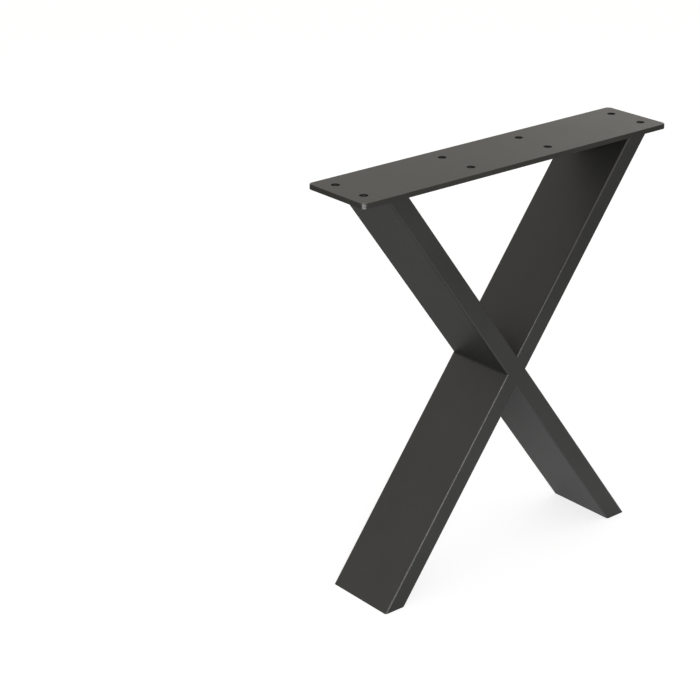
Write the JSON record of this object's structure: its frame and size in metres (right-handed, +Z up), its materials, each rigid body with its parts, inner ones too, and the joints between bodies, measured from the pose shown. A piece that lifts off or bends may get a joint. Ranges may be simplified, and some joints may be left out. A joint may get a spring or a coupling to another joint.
{
  "type": "x shaped table leg",
  "caption": "X shaped welded steel leg of rectangular tube with a flat screw plate on top, for tables and benches.",
  "frame": {"origin": "on the floor, midway between the feet and midway front to back", "axes": "+X along the screw plate, +Y across it, +Z up from the floor to the table top"},
  "size_m": [0.4, 0.08, 0.43],
  "materials": {
    "plate_coating": "matt anthracite powder coat on steel",
    "tube_coating": "matt anthracite powder coat on steel",
    "foot_coating": "matt anthracite powder coat on steel",
    "weld_coating": "matt anthracite powder coat over weld"
  },
  "bodies": {
    "root": {"mounting_plate": "plate_coating", "through_tube": "tube_coating", "upper_half_tube": "tube_coating", "lower_half_tube": "tube_coating", "left_foot_plate": "foot_coating", "right_foot_plate": "foot_coating", "right_outer_plate_weld": "weld_coating", "right_inner_plate_weld": "weld_coating", "left_outer_plate_weld": "weld_coating", "left_inner_plate_weld": "weld_coating", "right_crossing_weld": "weld_coating", "left_crossing_weld": "weld_coating", "upper_crossing_weld": "weld_coating", "lower_crossing_weld": "weld_coating"}
  },
  "joints": []
}
